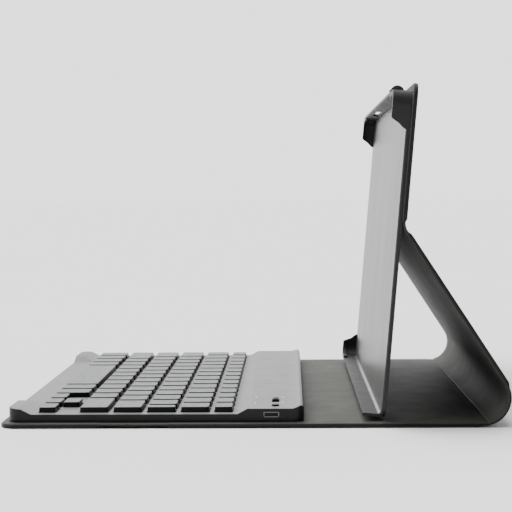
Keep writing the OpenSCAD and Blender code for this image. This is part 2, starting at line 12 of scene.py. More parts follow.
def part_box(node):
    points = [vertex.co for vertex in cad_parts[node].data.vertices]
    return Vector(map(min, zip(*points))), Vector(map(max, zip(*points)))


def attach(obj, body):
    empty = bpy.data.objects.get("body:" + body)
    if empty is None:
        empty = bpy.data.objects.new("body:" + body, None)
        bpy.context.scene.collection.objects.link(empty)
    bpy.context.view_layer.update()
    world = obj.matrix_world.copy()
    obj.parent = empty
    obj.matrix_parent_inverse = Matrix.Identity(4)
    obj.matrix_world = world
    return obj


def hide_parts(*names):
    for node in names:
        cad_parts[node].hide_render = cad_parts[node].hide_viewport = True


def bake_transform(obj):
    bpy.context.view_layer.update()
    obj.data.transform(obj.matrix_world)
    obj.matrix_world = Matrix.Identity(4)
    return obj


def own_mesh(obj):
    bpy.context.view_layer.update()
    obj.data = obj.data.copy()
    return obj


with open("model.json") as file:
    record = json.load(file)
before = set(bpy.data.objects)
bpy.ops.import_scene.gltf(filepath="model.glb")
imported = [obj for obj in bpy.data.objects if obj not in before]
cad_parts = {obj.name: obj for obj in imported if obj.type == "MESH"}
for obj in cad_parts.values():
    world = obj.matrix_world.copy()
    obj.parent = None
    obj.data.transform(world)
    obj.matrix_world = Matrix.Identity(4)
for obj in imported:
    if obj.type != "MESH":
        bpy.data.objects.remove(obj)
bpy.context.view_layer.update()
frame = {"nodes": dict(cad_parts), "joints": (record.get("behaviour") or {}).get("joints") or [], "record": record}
MM = 0.001

# ---------- places, from the frame ----------

joints = {j["name"]: j for j in frame["joints"]}


def pivot(name):
    """The point that a hinge turns about."""
    return Vector(joints[name]["pos_m"])


SPINE_R = 14.2 * MM  # outer radius of the spine's roll
STRUT_HEADING = math.radians(123)  # the strut's direction, from the floor's
TRAY_HEADING = math.radians(85)
PANEL_T = 2.2 * MM
STRUT_T = 2.1 * MM
LINING_T = 0.45 * MM
COVER_CORNER = 8 * MM
FLOOR_GAP = 0.02 * MM  # the leather stays this far above the floor
HALF_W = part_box("flap_skin")[1].x

front_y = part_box("flap_skin")[0].y
strip_s = pivot("flap_fold").y - front_y  # distances along the cover from its front edge
base_s = pivot("flap_strip_fold").y - front_y
spine_s = pivot("cover_open").y - front_y
strut_s = spine_s + SPINE_R * STRUT_HEADING


def along(heading):
    """The unit vector in the Y-Z plane at a heading from +Y, and the one that points into the cover."""
    return (
        np.array([math.cos(heading), math.sin(heading)]),
        np.array([-math.sin(heading), math.cos(heading)]),
    )


strut_dir, _ = along(STRUT_HEADING)
tray_dir, tray_in = along(TRAY_HEADING)
strut_at = np.array([
    front_y + spine_s + SPINE_R * math.sin(STRUT_HEADING),
    SPINE_R * (1 - math.cos(STRUT_HEADING)),
])
strut_l = float((np.array(pivot("tray_fold").yz) - strut_at) @ strut_dir)
fold_s = strut_s + strut_l
fold_at = strut_at + strut_l * strut_dir
upper_l = (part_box("upper_skin")[1].z - fold_at[1] - PANEL_T * tray_in[1]) / tray_dir[1]
end_s = fold_s + upper_l
FOLD_BLEND = 3.5 * MM  # the fold is rounded this far each way
CREASE_S = spine_s + 3 * MM  # the lining creases where the spine starts to turn up
CREASE_DEPTH = 0.4 * MM
STRIP_HOLLOW = 1.1 * MM  # how far the leather sinks between flap and base
STRIP_RIB = 0.35 * MM  # the low rib along the middle of that hollow
SPINE_HOLLOW = 0.9 * MM
FOLD_HOLLOW = 0.95 * MM
FOLD_BULGE = 0.25 * MM  # the lining gathers inside the fold
FOLD_FROM, FOLD_TO = fold_s - 2.4 * MM, fold_s + 1.6 * MM


def outline(s):
    """The cover's outer line: its point and heading in the Y-Z plane, at a distance s from the front edge."""
    if s <= spine_s:
        return np.array([front_y + s, 0.0]), 0.0
    if s <= strut_s:
        turn = (s - spine_s) / SPINE_R
        return np.array([front_y + spine_s + SPINE_R * math.sin(turn), SPINE_R * (1 - math.cos(turn))]), turn
    if s <= fold_s - FOLD_BLEND:
        return strut_at + (s - strut_s) * strut_dir, STRUT_HEADING
    if s >= fold_s + FOLD_BLEND:
        return fold_at + (s - fold_s) * tray_dir, TRAY_HEADING
    t = (s - fold_s + FOLD_BLEND) / (2 * FOLD_BLEND)
    a, b = fold_at - FOLD_BLEND * strut_dir, fold_at + FOLD_BLEND * tray_dir
    point = (1 - t) ** 2 * a + 2 * t * (1 - t) * fold_at + t * t * b
    slope = (1 - t) * (fold_at - a) + t * (b - fold_at)
    return point, math.atan2(slope[1], slope[0])


def smooth(a, b, x):
    """0 before a, 1 after b, and a smooth step between."""
    t = min(1.0, max(0.0, (x - a) / (b - a)))
    return t * t * (3 - 2 * t)


def zone(s, a, b, ramp):
    """1 between a and b, falling to 0 over a ramp outside them."""
    return smooth(a - ramp, a, s) * (1 - smooth(b, b + ramp, s))


def outer_depth(s):
    """How far the leather's face lies inside the outer line: panels stand proud of the soft hinges."""
    strip_middle = (strip_s + base_s) / 2
    depth = STRIP_HOLLOW * zone(s, strip_s + 1 * MM, base_s - 1 * MM, 2.2 * MM)
    depth -= STRIP_RIB * zone(s, strip_middle, strip_middle, 5 * MM)
    depth += SPINE_HOLLOW * zone(s, spine_s - 0.4 * MM, strut_s - 2.4 * MM, 1.8 * MM)
    depth += FOLD_HOLLOW * zone(s, FOLD_FROM, FOLD_TO, 1.8 * MM)
    return depth


def inner_depth(s):
    """How far the lining's face lies inside the outer line."""
    depth = PANEL_T - 0.1 * MM * zone(s, strip_s, base_s, 2 * MM)
    depth -= CREASE_DEPTH * zone(s, CREASE_S, CREASE_S + 0.3 * MM, 0.8 * MM)
    depth -= (PANEL_T - STRUT_T) * zone(s, spine_s, fold_s, 1.5 * MM)
    return depth - FOLD_BULGE * zone(s, FOLD_FROM, FOLD_TO, 1.5 * MM)


def half_width(s, inset=0.0):
    """Half the cover's width, less at its two rounded ends."""
    r = COVER_CORNER - inset
    near = max(0.0, min(s - inset, end_s - inset - s))
    drop = r - math.sqrt(max(0.0, r * r - (r - near) ** 2)) if near < r else 0.0
    return HALF_W - inset - drop


# ---------- mesh helpers ----------


def new_object(name, vertices, faces, materials, material_index=None):
    """A smooth-shaded mesh object."""
    mesh = bpy.data.meshes.new(name)
    mesh.from_pydata([tuple(v) for v in vertices], [], faces)
    for m in materials:
        mesh.materials.append(m)
    if material_index is not None:
        mesh.polygons.foreach_set("material_index", material_index)
    mesh.polygons.foreach_set("use_smooth", [True] * len(mesh.polygons))
    mesh.validate()
    mesh.update()
    obj = bpy.data.objects.new(name, mesh)
    bpy.context.scene.collection.objects.link(obj)
    return obj


def object_from(bm, name, material):
    """An object with a bmesh's shape, which is then freed."""
    mesh = bpy.data.meshes.new(name)
    bm.to_mesh(mesh)
    bm.free()
    mesh.materials.append(material)
    obj = bpy.data.objects.new(name, mesh)
    bpy.context.scene.collection.objects.link(obj)
    return obj


def sharpen(obj, angle=35):
    """Splits the shading at edges sharper than the angle."""
    mesh = obj.data
    bm = bmesh.new()
    bm.from_mesh(mesh)
    for e in bm.edges:
        if len(e.link_faces) == 2 and e.calc_face_angle(0) > math.radians(angle):
            e.smooth = False
    bm.to_mesh(mesh)
    bm.free()
    return obj


def tube_faces(start, rings, around):
    """The faces of a closed tube of vertices in rings: its sides, then its first and last ends."""
    faces = []
    for i in range(rings - 1):
        for k in range(around):
            p = start + i * around + k
            q = start + i * around + (k + 1) % around
            faces.append((p, q, q + around, p + around))
    last = start + (rings - 1) * around
    faces.append(tuple(range(start, start + around))[::-1])
    faces.append(tuple(range(last, last + around)))
    return faces


SEAM_HALF = 0.16 * MM  # half the groove between the outer skin and its turned edge
EDGE_STEPS = 4  # steps round each rounded edge
EDGE_ANGLES = [math.pi / 2 * k / EDGE_STEPS for k in range(1, EDGE_STEPS)]
RIBBON_COLUMNS = 34  # columns of faces across the cover


def ribbon_section(h, low, high, r_low, r_high):
    """A closed loop of (x, depth) for a flat band with rounded edges, from depth low to depth high."""
    loop = []
    for k in range(RIBBON_COLUMNS + 1):
        loop.append((-h + r_low + (2 * h - 2 * r_low) * k / RIBBON_COLUMNS, low))
    for a in EDGE_ANGLES:
        loop.append((h - r_low + r_low * math.sin(a), low + r_low * (1 - math.cos(a))))
    seam = (low + r_low + high - r_high) / 2
    seam_half = min(SEAM_HALF, 0.45 * (high - r_high - low - r_low))
    groove = ((h, seam - seam_half), (h - seam_half, seam), (h, seam + seam_half))
    sides = ((h, low + r_low), *groove, (h, high - r_high))
    loop += sides
    for a in EDGE_ANGLES:
        loop.append((h - r_high + r_high * math.cos(a), high - r_high + r_high * math.sin(a)))
    for k in range(RIBBON_COLUMNS + 1):
        loop.append((h - r_high - (2 * h - 2 * r_high) * k / RIBBON_COLUMNS, high))
    for a in EDGE_ANGLES:
        loop.append((-h + r_high - r_high * math.sin(a), high - r_high * (1 - math.cos(a))))
    loop += [(-x, depth) for x, depth in reversed(sides)]
    for a in EDGE_ANGLES:
        loop.append((-h + r_low - r_low * math.cos(a), low + r_low - r_low * math.sin(a)))
    return loop


NOTHING = 1e-9
STATION_STEP = 1.25 * MM
CUT_HAIR = 0.04 * MM  # a row of vertices this close to each cut keeps its edge crisp
END_STEPS = 13
SKIN_EDGE = 0.9 * MM  # the leather's edge radius


def stations(a, b):
    """Places along the cover from a to b, closer together beside the cuts and round the free ends."""
    places = list(np.linspace(a, b, max(2, round((b - a) / STATION_STEP)) + 1))
    places += [a + CUT_HAIR, b - CUT_HAIR]
    places += [p for p in np.linspace(CREASE_S - 1 * MM, CREASE_S + 1.3 * MM, 9) if a < p < b]
    for k in range(1, END_STEPS):
        bite = COVER_CORNER * (1 - math.cos(math.pi / 2 * k / END_STEPS))
        fine = SKIN_EDGE * (k / END_STEPS) ** 2
        for near in (bite, fine):
            places += [near] if a < NOTHING else []
            places += [end_s - near] if b > end_s - NOTHING else []
    return sorted(set(round(p, 8) for p in places if a <= p <= b))


WIDE_WAVE, FINE_WAVE = 0.045 * MM, 0.02 * MM


def undulation(x, s):
    """The slight unevenness of leather that is glued over a board."""
    wide = math.sin(x / (19 * MM) + 1.3) * math.sin(s / (27 * MM) + 0.4)
    fine = math.sin(x / (7.3 * MM) + s / (11 * MM)) * math.sin(s / (8.1 * MM) - x / (23 * MM))
    return WIDE_WAVE * wide + FINE_WAVE * fine


def ribbon(name, a, b, low, high, inset, r_low, r_high, material):
    """A closed sheet along the cover from a to b, between the depths low(s) and high(s)."""
    vertices = []
    places = stations(a + (inset if a < NOTHING else 0), b - (inset if b > end_s - NOTHING else 0))
    for s in places:
        point, heading = outline(s)
        _, inward = along(heading)
        lo, hi = low(s), high(s)
        near = min(s, end_s - s) - inset
        if near < r_low:
            lo += min(0.45 * (hi - lo), r_low - math.sqrt(max(0, r_low ** 2 - (r_low - near) ** 2)))
        if near < r_high:
            hi -= min(0.3 * (hi - lo), r_high - math.sqrt(max(0, r_high ** 2 - (r_high - near) ** 2)))
        thick = hi - lo
        section = ribbon_section(
            half_width(s, inset), lo, hi, min(r_low, 0.6 * thick), min(r_high, 0.35 * thick))
        for x, depth in section:
            lift = undulation(x, s) * zone(s, 12 * MM, end_s - 12 * MM, 10 * MM)
            y, z = point + (depth + lift) * inward
            vertices.append((x, y, max(z, FLOOR_GAP)))
    obj = new_object(name, vertices, tube_faces(0, len(places), len(section)), [material])
    bm = bmesh.new()
    bm.from_mesh(obj.data)
    bmesh.ops.recalc_face_normals(bm, faces=bm.faces)
    for e in bm.edges:
        if any(len(f.verts) > 4 for f in e.link_faces):
            e.smooth = False
    bm.to_mesh(obj.data)
    bm.free()
    return obj


BOX_CORNER_POINTS = 5


def rounded_box(bm, low, high, corner, edge, segments=4):
    """A block with rounded upright corners and a rounded top edge, added to a bmesh."""
    rings = [(0.0, low[2])]
    for k in range(segments + 1):
        a = math.pi / 2 * k / segments
        rings.append((edge * (1 - math.cos(a)), high[2] - edge + edge * math.sin(a)))
    loops = []
    for inset, z in rings:
        loop = []
        r = max(corner - inset, 0.05 * MM)
        for cx, cy, start in (
            (high[0] - corner, high[1] - corner, 0), (low[0] + corner, high[1] - corner, 90),
            (low[0] + corner, low[1] + corner, 180), (high[0] - corner, low[1] + corner, 270),
        ):
            for k in range(BOX_CORNER_POINTS):
                a = math.radians(start + 90 * k / (BOX_CORNER_POINTS - 1))
                loop.append(bm.verts.new((cx + r * math.cos(a), cy + r * math.sin(a), z)))
        loops.append(loop)
    n = len(loops[0])
    for one, two in zip(loops, loops[1:]):
        for k in range(n):
            bm.faces.new((one[k], one[(k + 1) % n], two[(k + 1) % n], two[k]))
    bm.faces.new(loops[0][::-1])
    bm.faces.new(loops[-1])


def islands(node):
    """The boxes of a CAD node's separate solids."""
    bm = bmesh.new()
    bm.from_mesh(frame["nodes"][node].data)
    bmesh.ops.remove_doubles(bm, verts=bm.verts, dist=1e-6)
    seen, boxes = set(), []
    for v in bm.verts:
        if v.index in seen:
            continue
        stack, points = [v], []
        seen.add(v.index)
        while stack:
            u = stack.pop()
            points.append(u.co.copy())
            for e in u.link_edges:
                w = e.other_vert(u)
                if w.index not in seen:
                    seen.add(w.index)
                    stack.append(w)
        p = np.array(points)
        boxes.append((p.min(0), p.max(0)))
    bm.free()
    return boxes


# ---------- materials ----------


class Finish:
    """A procedural material, with short calls for its texture nodes."""

    def __init__(self, name, colour, roughness, metallic=0.0, **fixed):
        self.material = bpy.data.materials.new(name)
        self.material.use_nodes = True
        self.tree = self.material.node_tree
        self.tree.nodes.clear()
        out = self.add("ShaderNodeOutputMaterial")
        self.shader = self.add("ShaderNodeBsdfPrincipled")
        self.link(self.shader.outputs[0], out.inputs["Surface"])
        self.shader.inputs["Base Color"].default_value = (*colour, 1)
        self.shader.inputs["Roughness"].default_value = roughness
        self.shader.inputs["Metallic"].default_value = metallic
        for socket, value in fixed.items():
            self.shader.inputs[socket.replace("_", " ")].default_value = value
        self.colour, self.roughness = colour, roughness
        self.coordinates = self.add("ShaderNodeTexCoord").outputs["Object"]
        self.height = None

    def add(self, kind, **settings):
        node = self.tree.nodes.new(kind)
        for k, v in settings.items():
            setattr(node, k, v)
        return node

    def link(self, a, b):
        self.tree.links.new(a, b)

    def stretched(self, scale):
        node = self.add("ShaderNodeMapping")
        node.inputs["Scale"].default_value = scale
        self.link(self.coordinates, node.inputs["Vector"])
        return node.outputs[0]

    def noise(self, size, detail=3.0, scale=(1, 1, 1), roughness=0.55):
        """Noise with features of a given size in metres."""
        node = self.add("ShaderNodeTexNoise")
        node.inputs["Scale"].default_value = 1 / size
        node.inputs["Detail"].default_value = detail
        node.inputs["Roughness"].default_value = roughness
        self.link(self.stretched(scale), node.inputs["Vector"])
        return node.outputs["Fac"]

    def cells(self, size, feature="F1", scale=(1, 1, 1)):
        node = self.add("ShaderNodeTexVoronoi", feature=feature)
        node.inputs["Scale"].default_value = 1 / size
        self.link(self.stretched(scale), node.inputs["Vector"])
        return node.outputs["Distance"]

    def ramp(self, value, low, high, out_low, out_high):
        """A value from low to high, mapped to a value from out_low to out_high."""
        node = self.add("ShaderNodeMapRange")
        limits = {"From Min": low, "From Max": high, "To Min": out_low, "To Max": out_high}
        for socket, number in limits.items():
            node.inputs[socket].default_value = number
        self.link(value, node.inputs["Value"])
        return node.outputs["Result"]

    def vary_colour(self, value, other, share=1.0):
        """Mixes the base colour with another one by a texture's value."""
        mix = self.add("ShaderNodeMix", data_type="RGBA")
        source = self.shader.inputs["Base Color"]
        if source.is_linked:
            self.link(source.links[0].from_socket, mix.inputs[6])
        else:
            mix.inputs[6].default_value = (*self.colour, 1)
        mix.inputs[7].default_value = (*other, 1)
        self.link(self.ramp(value, 0.3, 0.7, 0.0, share), mix.inputs[0])
        self.link(mix.outputs[2], source)
        return self

    def vary_roughness(self, value, amount):
        self.link(
            self.ramp(value, 0.25, 0.75, self.roughness - amount, self.roughness + amount),
            self.shader.inputs["Roughness"])
        return self

    def bump(self, value, distance, strength=1.0):
        """Adds relief of a given depth in metres."""
        node = self.add("ShaderNodeBump")
        node.inputs["Distance"].default_value = distance
        node.inputs["Strength"].default_value = strength
        self.link(value, node.inputs["Height"])
        if self.height:
            self.link(self.height, node.inputs["Normal"])
        self.height = node.outputs["Normal"]
        self.link(self.height, self.shader.inputs["Normal"])
        return self


def leather():
    """Black imitation leather with a fine pebbled grain."""
    f = Finish("cover_leather", (0.007, 0.007, 0.0073), 0.48, Specular_IOR_Level=0.2)
    f.vary_colour(f.noise(30 * MM), (0.011, 0.011, 0.011), 0.8)
    f.vary_roughness(f.noise(20 * MM), 0.03)
    f.bump(f.cells(1.1 * MM), 0.06 * MM, 0.5)
    f.bump(f.noise(0.6 * MM, 4), 0.04 * MM, 0.5)
    return f.material


def lining():
    """Grey-green microfibre with a soft nap."""
    f = Finish(
        "cover_lining", (0.046, 0.046, 0.038), 0.60,
        Specular_IOR_Level=0.12, Sheen_Weight=0.03, Sheen_Roughness=0.5)
    f.vary_colour(f.noise(30 * MM), (0.062, 0.061, 0.053), 0.8)
    f.vary_colour(f.noise(0.9 * MM, 5), (0.03, 0.03, 0.026), 0.5)
    f.vary_roughness(f.noise(12 * MM), 0.05)
    f.bump(f.noise(0.5 * MM, 5), 0.03 * MM, 0.5)
    return f.material


def moulded(name, colour, roughness, grain=0.4 * MM, depth=0.012 * MM, **fixed):
    """Injection-moulded plastic with a fine spark-eroded grain."""
    f = Finish(name, colour, roughness, **fixed)
    lighter = tuple(min(1.0, 1.25 * c + 0.002) for c in colour)
    f.vary_colour(f.noise(20 * MM), lighter, 0.6)
    f.vary_roughness(f.noise(9 * MM, 4), 0.04)
    f.bump(f.noise(grain, 4), depth, 0.7)
    return f.material


def grey_deck_painted_reflection():
    """The keyboard deck's silver-grey, lighter than the black case: partly its own tone and partly painted
    reflection of the bright surroundings, with a fine sparkle.
    """
    f = Finish("case_silver", (0.150, 0.152, 0.150), 0.44, Specular_IOR_Level=0.3)
    f.vary_colour(f.noise(30 * MM), (0.135, 0.137, 0.135), 0.8)
    f.vary_colour(f.noise(0.4 * MM, 2), (0.20, 0.202, 0.20), 0.35)
    f.vary_roughness(f.noise(10 * MM, 4), 0.04)
    f.bump(f.noise(0.5 * MM, 3), 0.01 * MM, 0.5)
    return f.material


def painted_reflection_key_top():
    """Satin keycap plastic with a touch of green, in a grey lighter than the black sides: painted reflection of
    the bright surroundings.
    """
    f = Finish("keycap", (0.080, 0.093, 0.086), 0.32, Specular_IOR_Level=0.15)
    f.vary_colour(f.noise(12 * MM), (0.066, 0.077, 0.071), 0.7)
    f.vary_roughness(f.noise(4 * MM, 3), 0.05)
    f.bump(f.noise(0.6 * MM, 3), 0.008 * MM, 0.4)
    return f.material


def tray_face():
    """The tray's satin liner sheet."""
    f = Finish("tray_liner", (0.040, 0.040, 0.039), 0.30, Specular_IOR_Level=0.24)
    f.vary_colour(f.noise(40 * MM, 2, scale=(1, 0.3, 0.3)), (0.034, 0.034, 0.033), 0.7)
    f.vary_roughness(f.noise(30 * MM, 2, scale=(1, 0.3, 0.3)), 0.02)
    f.bump(f.noise(0.8 * MM, 3), 0.012 * MM, 0.4)
    return f.material


def brushed(name, colour, roughness):
    """Metal with fine lines along X."""
    f = Finish(name, colour, roughness, metallic=1.0)
    f.vary_colour(f.noise(3 * MM, 3, scale=(0.1, 1, 1)), tuple(0.8 * c for c in colour), 0.7)
    f.vary_roughness(f.noise(1 * MM, 3), 0.06)
    f.bump(f.noise(0.5 * MM, 3, scale=(0.1, 1, 1)), 0.01 * MM, 0.4)
    return f.material


def board():
    """Grey fibreboard."""
    f = Finish("stiffener_board", (0.32, 0.28, 0.22), 0.85)
    f.vary_colour(f.noise(1.5 * MM, 5, scale=(0.3, 1, 1)), (0.22, 0.19, 0.15), 0.8)
    f.bump(f.noise(0.8 * MM, 4), 0.05 * MM, 0.6)
    return f.material


def circuit():
    """Green solder mask over its tracks."""
    f = Finish("circuit_green", (0.01, 0.09, 0.035), 0.4)
    f.vary_colour(f.cells(4 * MM, "DISTANCE_TO_EDGE"), (0.02, 0.15, 0.06), 0.8)
    f.bump(f.cells(3 * MM), 0.03 * MM, 0.4)
    return f.material


def light_pipe():
    """Clear plastic that glows a little."""
    f = Finish("light_pipe", (0.9, 0.93, 0.93), 0.25, Emission_Strength=1.0)
    f.shader.inputs["Emission Color"].default_value = (1, 1, 1, 1)
    f.vary_roughness(f.noise(0.4 * MM), 0.05)
    f.bump(f.noise(0.3 * MM), 0.005 * MM, 0.4)
    return f.material


paint = {
    "cover_leather": leather(),
    "cover_lining": lining(),
    "stiffener_board": board(),
    "magnet": brushed("magnet", (0.62, 0.62, 0.62), 0.28),
    "adhesive": moulded("adhesive", (0.5, 0.48, 0.4), 0.7),
    "tray_black": moulded(
        "tray_black", (0.016, 0.016, 0.0165), 0.46, 0.5 * MM, 0.02 * MM, Specular_IOR_Level=0.22),
    "tray_liner": tray_face(),
    "black_rubber": moulded("black_rubber", (0.008, 0.008, 0.008), 0.62, 0.6 * MM, 0.02 * MM),
    "case_black": moulded("case_black", (0.007, 0.007, 0.0074), 0.36, Specular_IOR_Level=0.2),
    "case_silver": grey_deck_painted_reflection(),
    "steel": brushed("steel", (0.55, 0.55, 0.56), 0.3),
    "film": moulded("film", (0.45, 0.5, 0.46), 0.5),
    "dome_rubber": moulded("dome_rubber", (0.7, 0.7, 0.66), 0.6),
    "link_plastic": moulded("link_plastic", (0.75, 0.75, 0.72), 0.45),
    "circuit_green": circuit(),
    "cell_foil": brushed("cell_foil", (0.68, 0.68, 0.7), 0.35),
    "light_pipe": light_pipe(),
    "keycap": painted_reflection_key_top(),
}
key_side = moulded("key_side", (0.005, 0.005, 0.0053), 0.34, Specular_IOR_Level=0.15)
# the socket's steel is far darker than the other steel: painted shade inside the charging socket's opening
socket_steel_painted_shade = brushed("socket_steel_painted_shade", (0.16, 0.16, 0.165), 0.35)
# the cove is a lighter, glossier copy of the liner's dark plastic: its lighter grey is a painted highlight
painted_highlight_cove = moulded("painted_highlight_cove", (0.06, 0.061, 0.058), 0.28, Specular_IOR_Level=0.5)

# ---------- the soft cover ----------

PANEL_REACH = 4 * MM  # the reach listed each way for a panel's hinge; nothing here bends the sheets
SPINE_REACH = 5.5 * MM
LINING_INSET = 0.35 * MM  # the lining stops this far inside the leather's edge

strip_mid = (strip_s + base_s) / 2
base_mid = (base_s + spine_s) / 2
spine_quarter = (strut_s - spine_s) / 4
spine_from = spine_s + spine_quarter
spine_mid = spine_s + 2 * spine_quarter
spine_to = strut_s - spine_quarter
strut_mid = (strut_s + fold_s) / 2

# name, from, to, bodies, hinge's place along the cover, reach of the bend, how it is held, what it lies on
sections = [
    ("flap", 0.0, strip_mid, ("flap", "flap_strip"), strip_s, PANEL_REACH, "laid", "flap_board"),
    ("front", strip_mid, base_mid, ("flap_strip", "base"), base_s, PANEL_REACH, "laid", "base_board"),
    ("rear", base_mid, spine_from, ("base", "spine_lower"), spine_s, SPINE_REACH, "laid", "base_board"),
    ("spine", spine_from, spine_to, ("spine_lower", "spine_upper"),
     spine_mid, SPINE_REACH, "folded", "base_board"),
    ("strut", spine_to, strut_mid, ("spine_upper", "strut"),
     strut_s, SPINE_REACH, "stretched", "strut_board"),
    ("upper", strut_mid, end_s, ("strut", "tray"), fold_s, PANEL_REACH, "stretched", "upper_board"),
]
skins = {
    "flap": ("flap_skin", "flap_strip_skin"), "front": ("base_skin",), "rear": ("spine_lower_skin",),
    "spine": ("spine_upper_skin",), "strut": ("strut_hinge_strip", "strut_skin"), "upper": ("upper_skin",)}
linings = {
    "flap": ("flap_lining", "flap_strip_lining"), "front": ("base_lining",), "rear": ("spine_lower_lining",),
    "spine": ("spine_upper_lining",), "strut": ("strut_lining",), "upper": ("upper_adhesive",)}


def lining_floor(s):
    """The depth at which leather ends and lining begins."""
    return inner_depth(s) - LINING_T


def cover_section(name, a, b, bodies, hinge, reach, held, board_node):
    """The leather and the microfibre along one length of the cover."""
    skin = ribbon(
        f"{name}_leather", a, b, outer_depth, lining_floor, 0.0, SKIN_EDGE, 0.2 * MM, paint["cover_leather"])
    cloth = ribbon(
        f"{name}_microfibre", a, b, lining_floor, inner_depth, LINING_INSET, 0.1 * MM, 0.25 * MM,
        paint["cover_lining"])
    for piece, nodes, slot in ((skin, skins[name], "cover_leather"), (cloth, linings[name], "cover_lining")):
        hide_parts(*nodes)
        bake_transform(piece)


for section in sections:
    cover_section(*section)

# ---------- keys ----------

KEY_EDGE = 0.45 * MM
KEY_EDGE_STEPS = 4
KEY_CORNER = 1.3 * MM
KEY_TAPER = 0.22 * MM
KEY_SKIRT = 0.3 * MM  # the upright part of the sides, below the taper
KEY_DISH = 0.16 * MM
DISH_SHARES = (0.15, 0.4, 0.7, 0.93)
KEY_CORNER_POINTS = 5
SIDE, TOP = 0, 1  # a cap's two materials: black sides, and a top painted lighter as painted reflection


def rounded_rectangle(cx, cy, hx, hy, r):
    """Points round a rectangle with rounded corners, from its right side."""
    points = []
    for sx, sy, start in ((1, 1, 0), (-1, 1, 90), (-1, -1, 180), (1, -1, 270)):
        for k in range(KEY_CORNER_POINTS):
            a = math.radians(start + 90 * k / (KEY_CORNER_POINTS - 1))
            points.append((cx + sx * (hx - r) + r * math.cos(a), cy + sy * (hy - r) + r * math.sin(a)))
    return points


def keycap_rings(bottom, top, hy):
    """The inset, height and material of each ring of a keycap, from its foot to the middle of its dish."""
    rings = [(0.0, bottom, SIDE), (0.0, bottom + KEY_SKIRT, SIDE), (KEY_TAPER, top - KEY_EDGE, SIDE)]
    for k in range(1, KEY_EDGE_STEPS + 1):
        a = math.pi / 2 * k / KEY_EDGE_STEPS
        inset = KEY_TAPER + KEY_EDGE * (1 - math.cos(a))
        # the top's lighter grey, a painted reflection, starts past the rounded edge
        tint = SIDE if k < KEY_EDGE_STEPS else TOP
        rings.append((inset, top - KEY_EDGE * (1 - math.sin(a)), tint))
    edge = KEY_TAPER + KEY_EDGE
    for share in DISH_SHARES:
        rings.append((edge + share * (hy - edge), top - KEY_DISH * share * (2 - share), TOP))
    return rings


def add_keycap(vertices, faces, tints, low, high):
    """One keycap: tapered black sides, a rounded edge and a shallow dish on top."""
    cx, cy = (low[0] + high[0]) / 2, (low[1] + high[1]) / 2
    hx, hy = (high[0] - low[0]) / 2, (high[1] - low[1]) / 2
    rings = keycap_rings(low[2], high[2], hy)
    around = 4 * KEY_CORNER_POINTS
    faces += tube_faces(len(vertices), len(rings), around)
    for inset, z, _ in rings:
        r = max(KEY_CORNER - 0.6 * inset, 0.1 * MM)
        r = min(r, hy - inset)
        for x, y in rounded_rectangle(cx, cy, hx - inset, hy - inset, r):
            vertices.append((x, y, z))
    for _, _, tint in rings[1:]:
        tints += [tint] * around
    tints += [SIDE, TOP]


def keycaps(node):
    """The caps that stand for one CAD node of keys."""
    vertices, faces, tints = [], [], []
    for low, high in islands(node):
        add_keycap(vertices, faces, tints, low, high)
    caps = new_object(f"{node}_caps", vertices, faces, [key_side, paint["keycap"]], tints)
    sharpen(caps, 50)
    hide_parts(node)
    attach(caps, body_of_node[node])


behaviour = frame["record"]["behaviour"]
body_of_node = {node: body for body, nodes in behaviour["bodies"].items() for node in nodes}
key_nodes = sorted(n for n in frame["nodes"] if n.endswith(("_keys", "_key")) or n == "space_bar")
for node in key_nodes:
    keycaps(node)

# ---------- rubber domes under the keys ----------------------------

DOME_SIDES = 20
# the bell's outline, as shares of its radius and height
DOME_PROFILE = (
    (1.0, 0.0), (1.0, 0.08), (0.93, 0.2), (0.82, 0.36), (0.68, 0.48), (0.58, 0.56), (0.55, 0.9), (0.48, 0.97),
    (0.4, 1.0))


def add_dome(vertices, faces, low, high):
    """One soft bell with a flat top, standing in the box from low to high."""
    cx, cy = (low[0] + high[0]) / 2, (low[1] + high[1]) / 2
    radius, height = (high[0] - low[0]) / 2, high[2] - low[2]
    faces += tube_faces(len(vertices), len(DOME_PROFILE), DOME_SIDES)
    for share, rise in DOME_PROFILE:
        r, z = share * radius, low[2] + rise * height
        for k in range(DOME_SIDES):
            a = 2 * math.pi * k / DOME_SIDES
            vertices.append((cx + r * math.cos(a), cy + r * math.sin(a), z))


def key_domes(node, dome_boxes):
    """The domes under one CAD node of keys."""
    vertices, faces = [], []
    key_boxes = islands(node)
    for low, high in dome_boxes:
        x, y = (low[0] + high[0]) / 2, (low[1] + high[1]) / 2
        if any(a[0] < x < b[0] and a[1] < y < b[1] for a, b in key_boxes):
            add_dome(vertices, faces, low, high)
    domes = sharpen(new_object(f"{node}_domes", vertices, faces, [paint["dome_rubber"]]), 50)
    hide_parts("rubber_domes")
    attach(domes, "keyboard")
    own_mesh(domes)


all_domes = islands("rubber_domes")
for node in key_nodes:
    key_domes(node, all_domes)

# ---------- power slider, connect button and socket ----------

SLIDER_RIBS = 5
SLIDER_RIB_HALF = 0.35 * MM
SLIDER_RIB_MARGIN = 0.3 * MM
BUTTON_SIDES = 32


def power_slider():
    """A small black slider with ribs across its top."""
    low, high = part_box("power_switch")
    bm = bmesh.new()
    rounded_box(bm, low, (high.x, high.y, high.z - 0.35 * MM), 0.5 * MM, 0.2 * MM)
    for k in range(SLIDER_RIBS):
        x = low.x + (high.x - low.x) * (k + 0.5) / SLIDER_RIBS
        rib_low = (x - SLIDER_RIB_HALF, low.y + SLIDER_RIB_MARGIN, high.z - 0.6 * MM)
        rib_high = (x + SLIDER_RIB_HALF, high.y - SLIDER_RIB_MARGIN, high.z)
        rounded_box(bm, rib_low, rib_high, 0.2 * MM, 0.15 * MM, 3)
    slider = object_from(bm, "power_slider_cap", paint["case_black"])
    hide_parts("power_switch")
    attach(slider, "power_slider")


